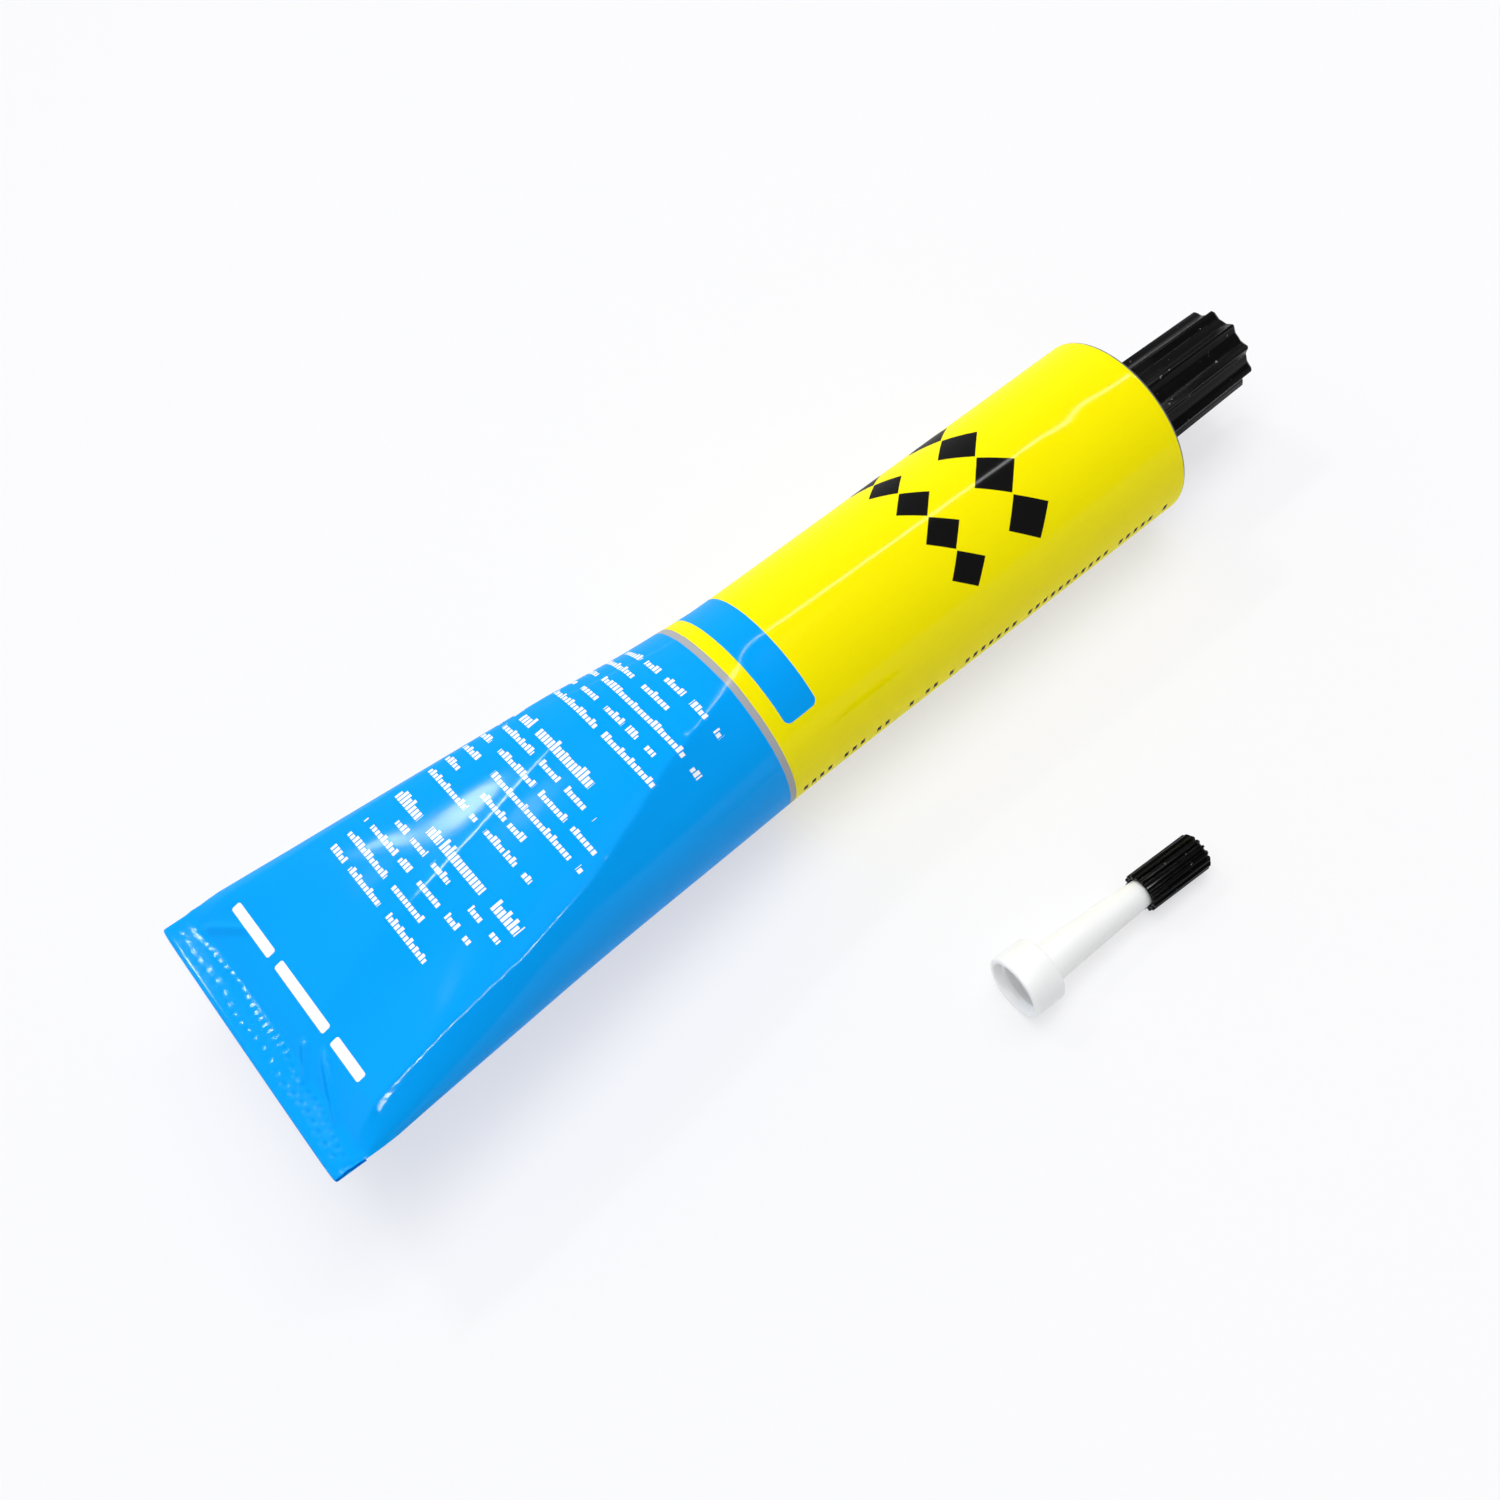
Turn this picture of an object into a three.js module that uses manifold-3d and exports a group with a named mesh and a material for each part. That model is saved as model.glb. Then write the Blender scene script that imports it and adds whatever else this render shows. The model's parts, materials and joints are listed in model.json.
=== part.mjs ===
// Collapsible metal tube of plastic cement, lying on a table with its screw cap on,
// and the screw-on dispensing nozzle that comes with it lying beside the tube.
// Millimetres, +Z up, +X from the folded tail towards the cap.

import * as THREE from 'three';
import { mergeVertices } from 'three/addons/utils/BufferGeometryUtils.js';
import Module from 'manifold-3d';

const wasm = await Module();
wasm.setup();

// Tube body
const tubeRadius = 16.5;
const tubeLength = 170.4;
const taperLength = 92;
const tailRise = 6.4;
const tailSwell = 0.75;
const tailCrown = 0.45;
const wall = 0.25;
const restWidth = 5;
const foldDepth = 5;
const foldSlit = 0.25;
const tailLand = 3;

// Shoulder and neck
const rimRound = 0.6;
const shoulderRise = 3;
const shoulderWall = 1;
const neckLength = 7;
const neckRadius = 3.55;
const orificeRadius = 2.5;

// Screw thread shared by the neck, the screw cap and the nozzle
const threadPitch = 1.5;
const threadHeight = 0.5;
const threadRootWidth = 0.9;
const threadCrestWidth = 0.35;
const threadStart = 1.2;
const neckThreadTurns = 3;
const socketThreadTurns = 2;
const threadSunk = 0.12;
const threadClearance = 0.25;

// Pieces inside the tube
const fillGap = 0.3;
const tailSealLength = 3;
const membraneRadius = 3.3;
const membraneThickness = 0.15;
const seatGap = 0.1;

// Screw cap
const capLength = 23;
const capBaseRadius = 8.2;
const capCrownRadius = 7.7;
const capFlutes = 10;
const capRidgeTurn = 2.5;
const capFluteDepth = 0.7;
const capEdgeRound = 0.5;
const capBaseGap = 0.4;
const capWall = 1.2;
const sleeveWall = 1.1;
const pocketDepth = 6.5;
const linerThickness = 1;
const crownRecessRadius = 5.75;
const crownRecessDepth = 12;
const spikeLength = 7;
const spikeRadius = 1.6;
const spikeTipRadius = 0.2;

// Nozzle
const collarRadius = 5.1;
const collarLength = 5.7;
const collarEdge = 0.4;
const socketDepth = 5;
const spoutBaseRadius = 3.15;
const spoutTipRadius = 1.65;
const spoutLength = 29.2;
const spoutBoreBase = 2;
const spoutBoreTip = 0.8;

// Nozzle cap
const nozzleCapLength = 11.7;
const nozzleCapRadius = 3.15;
const nozzleCapRibs = 16;
const nozzleCapRibDepth = 0.25;
const nozzleCapEnd = 1.4;
const nozzleCapFit = 0.25;
const sealPinRadius = 0.5;
const sealPinLength = 2;

// Where the loose nozzle lies
const nozzleMouthFromTail = 90.2;
const nozzleFromAxis = 60.2;
const nozzleYaw = -1.9;

// Fineness of the round surfaces
const tubeSides = 40;
const taperSteps = 10;
const latheSides = 32;
const threadSteps = 28;
const flutePoints = 5;

// Cuts run this far past the faces that they open
const cutPast = 1;

const fullTurn = 2 * Math.PI;
const flatAngle = Math.asin(restWidth / 2 / tubeRadius);
const axisHeight = tubeRadius * Math.cos(flatAngle);
const tailHalfWidth = Math.PI * tubeRadius / 2;
const foldLayer = 2 * wall;
const threadCrestRadius = neckRadius + threadHeight;
const socketRadius = threadCrestRadius + threadClearance;
const shoulderTop = tubeLength + shoulderRise;
const neckEnd = shoulderTop + neckLength;

// Solids

// A closed mesh becomes a solid for joining and cutting.
function solid(geometry) {
  const bare = geometry.clone();
  bare.deleteAttribute('normal');
  bare.deleteAttribute('uv');
  const merged = mergeVertices(bare);
  return new wasm.Manifold(new wasm.Mesh({
    numProp: 3,
    vertProperties: new Float32Array(merged.attributes.position.array),
    triVerts: new Uint32Array(merged.index.array),
  }));
}

// A finished solid becomes a named mesh.
function piece(name, shape, material) {
  const mesh = shape.getMesh();
  const geometry = new THREE.BufferGeometry();
  geometry.setAttribute('position', new THREE.BufferAttribute(mesh.vertProperties, 3));
  geometry.setIndex(new THREE.BufferAttribute(mesh.triVerts, 1));
  geometry.computeVertexNormals();
  const result = new THREE.Mesh(geometry, material);
  result.name = name;
  return result;
}

// A skin over rings of points, closed by a fan at each end.
// Each ring runs counter-clockwise when seen from the end that the rings lead to.
function loft(rings) {
  const sides = rings[0].length;
  const points = rings.flat();
  const faces = [];
  for (let ring = 0; ring + 1 < rings.length; ring += 1) {
    for (let side = 0; side < sides; side += 1) {
      const here = ring * sides + side;
      const next = ring * sides + (side + 1) % sides;
      faces.push(here, next, next + sides, here, next + sides, here + sides);
    }
  }
  const firstMiddle = points.length;
  const lastMiddle = firstMiddle + 1;
  const lastRing = firstMiddle - sides;
  points.push(middle(rings[0]), middle(rings[rings.length - 1]));
  for (let side = 0; side < sides; side += 1) {
    const next = (side + 1) % sides;
    faces.push(firstMiddle, next, side);
    faces.push(lastMiddle, lastRing + side, lastRing + next);
  }
  const geometry = new THREE.BufferGeometry().setFromPoints(points);
  geometry.setIndex(faces);
  return solid(geometry);
}

function middle(ring) {
  const sum = new THREE.Vector3();
  ring.forEach((point) => sum.add(point));
  return sum.divideScalar(ring.length);
}

// A turned solid about the X axis, from (distance along X, radius) pairs
// that start and end on the axis or close on themselves.
function turned(profile) {
  const points = profile.map(([along, radius]) => new THREE.Vector2(radius, along));
  const geometry = new THREE.LatheGeometry(points, latheSides);
  geometry.rotateZ(-Math.PI / 2);
  return solid(geometry);
}

// A helical thread ridge about the X axis that fades in and out at its ends.
function threadRidge(start, turns, rootRadius, crestRadius) {
  const steps = Math.round(turns * threadSteps);
  const fadeSteps = threadSteps / 4;
  const sunk = Math.sign(rootRadius - crestRadius) * threadSunk;
  const rings = [];
  for (let step = 0; step <= steps; step += 1) {
    const angle = step / threadSteps * fullTurn;
    const along = start + step / threadSteps * threadPitch;
    const share = Math.min(1, (1 + Math.min(step, steps - step)) / fadeSteps);
    const root = { radius: rootRadius + sunk, half: threadRootWidth / 2 };
    const crest = {
      radius: rootRadius + (crestRadius - rootRadius) * share,
      half: threadCrestWidth / 2,
    };
    const [inner, outer] = rootRadius < crestRadius ? [root, crest] : [crest, root];
    const corners = [[-inner.half, inner], [inner.half, inner], [outer.half, outer], [-outer.half, outer]];
    rings.push(corners.map(([shift, edge]) => new THREE.Vector3(
      along + shift,
      edge.radius * Math.cos(angle),
      edge.radius * Math.sin(angle),
    )));
  }
  return loft(rings);
}

// Tube form

// One cross-section of the tube, with a flat strip underneath where it rests on the table.
// It is an ellipse at flatness 0, and at flatness 1 a low crowned cushion with tight sides.
function section(along, halfWidth, halfHeight, centreHeight, flatness) {
  const ring = [];
  for (let side = 0; side < tubeSides; side += 1) {
    const angle = flatAngle - Math.PI / 2 + side / (tubeSides - 1) * (fullTurn - 2 * flatAngle);
    const across = Math.cos(angle);
    const spread = Math.sqrt((1 + tailCrown ** 2) / (across ** 2 + tailCrown ** 2));
    ring.push(new THREE.Vector3(
      along,
      halfWidth * across * (1 + flatness * (spread - 1)),
      centreHeight + halfHeight * Math.sin(angle),
    ));
  }
  return ring;
}

function roundSection(along, radius) {
  return section(along, radius, radius, axisHeight, 0);
}

// From the fold to the round part the tube grows narrower and fills out, while its girth stays the same.
function fullness(along) {
  return Math.max(0, (along - foldDepth) / (taperLength - foldDepth));
}

function halfWidthAt(along) {
  return tailHalfWidth + (tubeRadius - tailHalfWidth) * fullness(along);
}

function halfHeightAt(along) {
  return Math.max(tubeRadius * fullness(along) ** tailSwell, foldLayer / 2);
}

function centreHeightAt(along) {
  return axisHeight + tailRise * (1 - along / taperLength);
}

function taperSection(along, inset) {
  return section(
    along,
    halfWidthAt(along) - inset,
    halfHeightAt(along) - inset,
    centreHeightAt(along),
    1 - fullness(along),
  );
}

// Sections from a place near the tail to the round part, closer together at the flat end.
function taperRings(start, inset) {
  const rings = [];
  for (let step = 0; step < taperSteps; step += 1) {
    const along = start + (taperLength - start) * (step / taperSteps) ** 2;
    rings.push(taperSection(along, inset));
  }
  rings.push(roundSection(taperLength, tubeRadius - inset));
  return rings;
}

// The hollow inside the tube, from a place near the tail out through the neck.
function hollow(start, inset, end) {
  return loft([
    ...taperRings(start, inset),
    roundSection(tubeLength - shoulderWall - (inset - wall), tubeRadius - inset),
    roundSection(shoulderTop - shoulderWall - (inset - wall), orificeRadius - (inset - wall)),
    roundSection(end, orificeRadius - (inset - wall)),
  ]);
}

// The flattened tail is folded back once under itself.
function tailFold() {
  const bend = foldLayer + foldSlit / 2;
  const highest = foldLayer / 2;
  const lowest = highest - 2 * bend;
  const joint = foldDepth + tailLand / 2;
  const outline = new THREE.Shape();
  outline.moveTo(joint, highest);
  outline.lineTo(joint, highest - foldLayer);
  outline.lineTo(bend, highest - foldLayer);
  outline.lineTo(bend, lowest + foldLayer);
  outline.lineTo(foldDepth, lowest + foldLayer);
  outline.lineTo(foldDepth, lowest);
  outline.lineTo(bend, lowest);
  outline.absarc(bend, highest - bend, bend, 3 * Math.PI / 2, Math.PI / 2, true);
  outline.closePath();
  const width = 2 * tailHalfWidth;
  const geometry = new THREE.ExtrudeGeometry(outline, { depth: width, bevelEnabled: false, curveSegments: 6 });
  geometry.rotateX(Math.PI / 2);
  geometry.translate(0, width / 2, axisHeight + tailRise);
  return solid(geometry);
}

// Pieces of the tube

function tubeBody() {
  const skin = loft([
    ...taperRings(foldDepth, 0),
    roundSection(tubeLength, tubeRadius),
    roundSection(tubeLength + rimRound, tubeRadius - rimRound),
    roundSection(shoulderTop, neckRadius),
    roundSection(neckEnd, neckRadius),
  ]);
  const thread = threadRidge(shoulderTop + threadStart, neckThreadTurns, neckRadius, threadCrestRadius)
    .translate([0, 0, axisHeight]);
  return skin
    .add(tailFold())
    .add(thread)
    .subtract(hollow(foldDepth + tailLand, wall, neckEnd + cutPast));
}

function neckMembrane() {
  const start = neckEnd + seatGap;
  return loft([
    roundSection(start, membraneRadius),
    roundSection(start + membraneThickness, membraneRadius),
  ]);
}

// A latex strip closes the last of the hollow, next to the fold.
function tailEndSeal() {
  const start = foldDepth + tailLand + fillGap;
  const end = start + tailSealLength;
  const inset = wall + fillGap;
  const halfHeight = halfHeightAt(start) - inset;
  const centreHeight = centreHeightAt(start);
  const flatness = 1 - fullness(start);
  return loft([
    section(start, halfWidthAt(end) - inset, halfHeight, centreHeight, flatness),
    section(end, halfWidthAt(end) - inset, halfHeight, centreHeight, flatness),
  ]);
}

function cementFill() {
  const start = foldDepth + tailLand + tailSealLength + 2 * fillGap;
  return hollow(start, wall + fillGap, neckEnd);
}

// Screw cap, modelled from its base plane at x = 0

const neckEndInCap = neckLength - capBaseGap;
const linerStart = neckEndInCap + 2 * seatGap + membraneThickness;
const linerSeat = linerStart + linerThickness + seatGap;
const linerRadius = socketRadius - seatGap;
const threadStartInCap = threadStart - capBaseGap + threadPitch / 2;

// A fluted outline: hollow grooves that meet in sharp ridges.
function flutedRing(along, ridgeRadius) {
  const ring = [];
  const count = capFlutes * flutePoints;
  for (let point = 0; point < count; point += 1) {
    const angle = THREE.MathUtils.degToRad(capRidgeTurn) + point / count * fullTurn;
    const share = (point % flutePoints) / flutePoints;
    const radius = ridgeRadius - capFluteDepth * Math.sin(Math.PI * share);
    ring.push(new THREE.Vector3(along, radius * Math.cos(angle), radius * Math.sin(angle)));
  }
  return ring;
}

function screwCap() {
  const outside = loft([
    flutedRing(0, capBaseRadius),
    flutedRing(capLength - capEdgeRound, capCrownRadius),
    flutedRing(capLength, capCrownRadius - capEdgeRound),
  ]);
  const socket = turned([
    [-cutPast, 0],
    [-cutPast, socketRadius],
    [linerSeat, socketRadius],
    [linerSeat, 0],
  ]);
  const pocketInner = socketRadius + sleeveWall;
  const pocketOuter = capBaseRadius - capFluteDepth - capWall;
  const pocket = turned([
    [-cutPast, pocketInner],
    [-cutPast, pocketOuter],
    [pocketDepth, pocketOuter],
    [pocketDepth, pocketInner],
    [-cutPast, pocketInner],
  ]);
  const recessFloor = capLength - crownRecessDepth;
  const recess = turned([
    [recessFloor, 0],
    [recessFloor, crownRecessRadius],
    [capLength + cutPast, crownRecessRadius],
    [capLength + cutPast, 0],
  ]);
  const spike = turned([
    [recessFloor - capEdgeRound, 0],
    [recessFloor - capEdgeRound, spikeRadius],
    [recessFloor, spikeRadius],
    [recessFloor + spikeLength, spikeTipRadius],
    [recessFloor + spikeLength, 0],
  ]);
  const thread = threadRidge(threadStartInCap, socketThreadTurns, socketRadius, socketRadius - threadHeight);
  return outside.subtract(socket).subtract(pocket).subtract(recess).add(spike).add(thread);
}

function capLiner() {
  return turned([
    [linerStart, 0],
    [linerStart, linerRadius],
    [linerStart + linerThickness, linerRadius],
    [linerStart + linerThickness, 0],
  ]);
}

// Nozzle, modelled from its mouth at x = 0

const spoutTip = collarLength + spoutLength;
const nozzleCapStart = spoutTip + fillGap + nozzleCapEnd - nozzleCapLength;
const nozzleEnd = nozzleCapStart + nozzleCapLength;

function spoutRadius(along) {
  return spoutBaseRadius + (spoutTipRadius - spoutBaseRadius) * (along - collarLength) / spoutLength;
}

function nozzleBody() {
  const outside = turned([
    [0, 0],
    [0, collarRadius - collarEdge / 2],
    [collarEdge / 2, collarRadius],
    [collarLength - collarEdge, collarRadius],
    [collarLength, collarRadius - collarEdge],
    [collarLength, spoutBaseRadius + collarEdge],
    [collarLength + collarEdge, spoutRadius(collarLength + collarEdge)],
    [spoutTip, spoutTipRadius],
    [spoutTip, 0],
  ]);
  const bore = turned([
    [-cutPast, 0],
    [-cutPast, socketRadius],
    [socketDepth, socketRadius],
    [socketDepth, spoutBoreBase],
    [spoutTip, spoutBoreTip],
    [spoutTip + cutPast, spoutBoreTip],
    [spoutTip + cutPast, 0],
  ]);
  const thread = threadRidge(threadPitch / 2, socketThreadTurns, socketRadius, socketRadius - threadHeight);
  return outside.subtract(bore).add(thread);
}

// A ribbed outline: narrow square ribs with grooves of the same width.
function ribbedRing(along, ribRadius) {
  const ring = [];
  const quarters = 4 * nozzleCapRibs;
  for (let quarter = 0; quarter < quarters; quarter += 1) {
    const angle = (quarter + 0.5) / quarters * fullTurn;
    const onRib = quarter % 4 === 0 || quarter % 4 === 3;
    const radius = onRib ? ribRadius : ribRadius - nozzleCapRibDepth;
    ring.push(new THREE.Vector3(along, radius * Math.cos(angle), radius * Math.sin(angle)));
  }
  return ring;
}

function nozzleCap() {
  const outside = loft([
    ribbedRing(nozzleCapStart, nozzleCapRadius),
    ribbedRing(nozzleEnd - collarEdge, nozzleCapRadius),
    ribbedRing(nozzleEnd, nozzleCapRadius - collarEdge),
  ]);
  const boreEnd = nozzleEnd - nozzleCapEnd;
  const bore = turned([
    [nozzleCapStart - cutPast, 0],
    [nozzleCapStart - cutPast, spoutRadius(nozzleCapStart - cutPast) + nozzleCapFit],
    [boreEnd, spoutRadius(boreEnd) + nozzleCapFit],
    [boreEnd, 0],
  ]);
  const pin = turned([
    [boreEnd - fillGap - sealPinLength, 0],
    [boreEnd - fillGap - sealPinLength, sealPinRadius],
    [boreEnd + nozzleCapEnd / 2, sealPinRadius],
    [boreEnd + nozzleCapEnd / 2, 0],
  ]);
  return outside.subtract(bore).add(pin);
}

// Materials

function finish(colour, roughness, metalness) {
  return new THREE.MeshStandardMaterial({ color: colour, roughness, metalness });
}

const yellowEnamel = finish('#ffec00', 0.3, 0.1);
const bareAluminium = finish('#c9ccd0', 0.35, 1);
const naturalLatex = finish('#d8c9a4', 0.6, 0);
const amberCement = finish('#d9b45a', 0.2, 0);
const blackPolyethylene = finish('#1b1b1d', 0.45, 0);
const whiteFoam = finish('#ececec', 0.8, 0);
const naturalPolyethylene = finish('#e6eaee', 0.4, 0);

// Assembly

const capGroup = new THREE.Group();
capGroup.position.set(shoulderTop + capBaseGap, 0, axisHeight);
capGroup.add(
  piece('screw_cap', screwCap(), blackPolyethylene),
  piece('cap_liner', capLiner(), whiteFoam),
);

// The nozzle lies on the front edge of its collar and on the end of its small cap.
const nozzleRest = collarLength - collarEdge;
const nozzleCapRest = nozzleEnd - collarEdge;
const nozzlePitch = Math.atan((collarRadius - nozzleCapRadius) / (nozzleCapRest - nozzleRest));
const nozzleMouthHeight = collarRadius * Math.cos(nozzlePitch) + nozzleRest * Math.sin(nozzlePitch);
const nozzleGroup = new THREE.Group();
nozzleGroup.position.set(nozzleMouthFromTail, -nozzleFromAxis, nozzleMouthHeight);
nozzleGroup.rotation.set(0, nozzlePitch, THREE.MathUtils.degToRad(nozzleYaw), 'ZYX');
nozzleGroup.add(
  piece('nozzle', nozzleBody(), naturalPolyethylene),
  piece('nozzle_cap', nozzleCap(), blackPolyethylene),
);

const tubeGroup = new THREE.Group();
tubeGroup.add(
  piece('tube_body', tubeBody(), yellowEnamel),
  piece('neck_membrane', neckMembrane(), bareAluminium),
  piece('tail_end_seal', tailEndSeal(), naturalLatex),
  piece('cement_fill', cementFill(), amberCement),
  capGroup,
  nozzleGroup,
);

// The origin is under the middle of everything, on the table.
const extent = new THREE.Box3().setFromObject(tubeGroup, true);
tubeGroup.position.set(-(extent.min.x + extent.max.x) / 2, -(extent.min.y + extent.max.y) / 2, 0);

const cementTube = new THREE.Group();
cementTube.add(tubeGroup);

export default cementTube;
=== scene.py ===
"""Looks of a plastic cement tube: a printed metal tube with its cap on and a loose nozzle beside it."""
import json
import math

import bpy
import numpy as np
from mathutils import Matrix, Vector


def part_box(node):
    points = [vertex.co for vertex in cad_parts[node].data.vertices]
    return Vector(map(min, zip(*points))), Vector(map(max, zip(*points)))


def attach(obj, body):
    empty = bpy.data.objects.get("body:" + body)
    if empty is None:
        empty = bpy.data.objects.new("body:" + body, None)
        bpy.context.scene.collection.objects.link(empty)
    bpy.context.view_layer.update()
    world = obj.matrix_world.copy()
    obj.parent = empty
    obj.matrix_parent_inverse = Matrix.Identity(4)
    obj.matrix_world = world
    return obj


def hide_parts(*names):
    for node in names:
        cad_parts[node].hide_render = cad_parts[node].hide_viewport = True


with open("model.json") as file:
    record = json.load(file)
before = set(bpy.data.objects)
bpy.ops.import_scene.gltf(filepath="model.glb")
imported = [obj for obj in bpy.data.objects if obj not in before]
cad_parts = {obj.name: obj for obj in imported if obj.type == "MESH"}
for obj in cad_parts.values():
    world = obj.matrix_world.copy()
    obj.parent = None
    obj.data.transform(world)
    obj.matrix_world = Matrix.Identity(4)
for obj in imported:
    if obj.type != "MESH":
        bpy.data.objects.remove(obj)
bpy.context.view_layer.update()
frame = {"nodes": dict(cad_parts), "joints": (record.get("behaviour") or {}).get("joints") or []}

# Sizes are in millimetres, as in the part's source, and become metres in the meshes.
MM = 0.001

# Meshing: how near points are merged, and from how many degrees an edge is rounded or stays sharp
MERGE_REACH = 0.001 * MM
BEVEL_ANGLE = 35
SMOOTH_ANGLE = 40
TUBE_SMOOTH_ANGLE = 50

# Tube form
TUBE_RADIUS = 16.5
TUBE_LENGTH = 170.4
TAPER_LENGTH = 92.0
TAIL_RISE = 6.4
TAIL_SWELL = 0.75
TAIL_CROWN = 0.45
TAPER_BLEND = 0.05
WALL = 0.25
FOLD_DEPTH = 5.0
FOLD_SLIT = 0.25
TAIL_LAND = 3.0
GIRTH = 2 * math.pi * TUBE_RADIUS
TAIL_HALF_WIDTH = GIRTH / 4
FOLD_LAYER = 2 * WALL
TUBE_COLUMNS = 340
FINE_RINGS_END = 14
SECTION_SAMPLES = 1441

# Shoulder, neck and the thread that the cap and the nozzle share
RIM_ROUND = 0.6
RIM_GROOVE_DEPTH = 0.25
RIM_GROOVE_OUTER = 0.3
RIM_GROOVE_INNER = 0.9
RIM_GROOVE_END = 1.4
RIM_GROOVE_LIP = 0.05
SHOULDER_RISE = 3.0
SHOULDER_WALL = 1.0
SHOULDER_CROWN = 0.25
NECK_LENGTH = 7.0
NECK_RADIUS = 3.55
NECK_FLARE = 1.2
NECK_FILLET = 0.4
NECK_LIP = 0.3
NECK_LIP_INSET = 0.2
ORIFICE_RADIUS = 2.5
NECK_STEPS = 160
NECK_EDGE_ROUND = 0.06
THREAD_PITCH = 1.5
THREAD_HEIGHT = 0.5
THREAD_ROOT = 0.9
THREAD_CREST = 0.35
THREAD_START = 1.2
THREAD_STEPS = 48
NECK_TURNS = 3
SOCKET_TURNS = 2
THREAD_SUNK = 0.12
THREAD_CLEARANCE = 0.25
SOCKET_RADIUS = NECK_RADIUS + THREAD_HEIGHT + THREAD_CLEARANCE

# Screw cap
CAP_LENGTH = 23.0
CAP_BASE_RADIUS = 8.2
CAP_CROWN_RADIUS = 7.7
CAP_FLUTES = 10
CAP_STEPS_PER_FLUTE = 20
CAP_RIDGE_TURN = math.radians(2.5)
CAP_FLUTE_DEPTH = 1.2
CAP_FLUTE_BREADTH = 1.25
CAP_FLUTE_ROUND = 0.9
CAP_EDGE = 0.5
CAP_EDGE_ROUND = 0.18
CAP_SLEEVE_WALL = 1.1
CAP_SLEEVE_RADIUS = SOCKET_RADIUS + CAP_SLEEVE_WALL
CAP_SKIRT_RADIUS = 6.3
CAP_SKIRT_MARGIN = 0.2
CAP_POCKET_DEPTH = 6.5
CAP_SOCKET_DEPTH = 8.05
CAP_BASE_GAP = 0.4
CAP_THREAD_START = THREAD_START - CAP_BASE_GAP + THREAD_PITCH / 2
CAP_RECESS_RADIUS = 5.75
CAP_RECESS_DEPTH = 12.0
CAP_RECESS_FLOOR = CAP_LENGTH - CAP_RECESS_DEPTH
SPIKE_LENGTH = 7.0
SPIKE_RADIUS = 1.6
SPIKE_TIP = 0.2

# Nozzle
COLLAR_RADIUS = 5.1
COLLAR_LENGTH = 5.7
COLLAR_EDGE = 0.4
SOCKET_DEPTH = 5.0
SPOUT_BASE_RADIUS = 3.15
SPOUT_TIP_RADIUS = 1.65
SPOUT_LENGTH = 29.2
BORE_BASE = 2.0
BORE_TIP = 0.8
NOZZLE_STEPS = 128
NOZZLE_EDGE_ROUND = 0.12
NOZZLE_FROM_TAIL = 90.2
NOZZLE_FROM_AXIS = 60.2
NOZZLE_YAW = math.radians(-1.9)

# Nozzle cap
SMALL_CAP_LENGTH = 11.7
SMALL_CAP_RADIUS = 3.15
SMALL_CAP_RIBS = 16
SMALL_CAP_STEPS_PER_RIB = 12
SMALL_CAP_RIB_DEPTH = 0.55
SMALL_CAP_GROOVE_BREADTH = 0.75
SMALL_CAP_GROOVE_SLOPE = 2.2
SMALL_CAP_EDGE_ROUND = 0.07
SMALL_CAP_END = 1.4
SMALL_CAP_FIT = 0.25
SMALL_CAP_BORE_MARGIN = 0.05
SMALL_CAP_TIP_GAP = 0.3
SEAL_PIN_RADIUS = 0.5
SEAL_PIN_LENGTH = 2.0

# Marks on the tube's surface, placed along it from the tail's edge and round it from the top line.
# Each crease has its points, height, and how far it reaches towards the top line and down the side.
CREASES = (
    (
        ((4, 24), (12, 21.6), (25, 20), (38, 18.9), (51, 16.6), (64, 12.6), (70, 10.4), (90, 6)),
        2.1, 8.0, 3.2,
    ),
    (((4, -24), (22, -20.6), (40, -18), (58, -15.5), (80, -12)), 1.2, 8.0, 3.5),
    (((6, 6), (20, 2), (40, -1), (62, -5), (80, -8)), 0.35, 6.0, 6.0),
)
CREST_ROUND = 0.5
CREASE_START_FADE = 6
CREASE_END_FADE = 14

# Each wrinkle has its two ends, height and width.
WRINKLES = (
    ((7.6, 5.5), (4.0, 11), 0.55, 0.5),
    ((8.6, 9.5), (4.2, 20), 0.65, 0.5),
    ((10.5, -15), (5.2, -21.5), 0.45, 0.7),
)
WRINKLE_END_HEIGHT = 0.4
WRINKLE_END_SLOPE = 4

# Each dent has its place, its reach along and round the tube, and its depth.
DENTS = (
    (50, -3, 9, 5, 0.2),
    (30, -7, 6, 4, 0.15),
    (70, -1, 10, 6, 0.15),
    (50, 26, 24, 5, 0.3),
    (24, 9, 9, 6, 0.2),
    (158, 4.5, 4, 3, 0.14),
    (112, 22, 12, 8, 0.1),
)
DENT_LIMIT = 0.28

# The ripple's height on the stiff and the soft half, and where all marks die away
RIPPLE_STIFF = 0.003
RIPPLE_SOFT = 0.057
SOFT_END = TAPER_LENGTH + 2
SOFT_FADE = 25
FOLD_FADE = 1.5
RIM_PLAIN = 2
RIM_FADE = 6

# Crimp pits: two rows, the upper one sloping at the near corner, with depths at places round the tube
UPPER_CRIMP = FOLD_DEPTH - 0.6
LOWER_CRIMP = 2.0
CRIMP_SLOPE = 0.07
CRIMP_SLOPE_START = 4
CRIMP_SLOPE_REACH = 20
CRIMP_WANDER = 0.3
PIT_RADIUS = 0.38
PIT_PLACES = (-20, 0, 10)
PIT_DEPTHS = (0.02, 0.04, 0.26)
DEPTH_BETWEEN_PITS = 0.1
TAIL_EDGE = 0.4
TAIL_EDGE_FADE = 0.6

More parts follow.
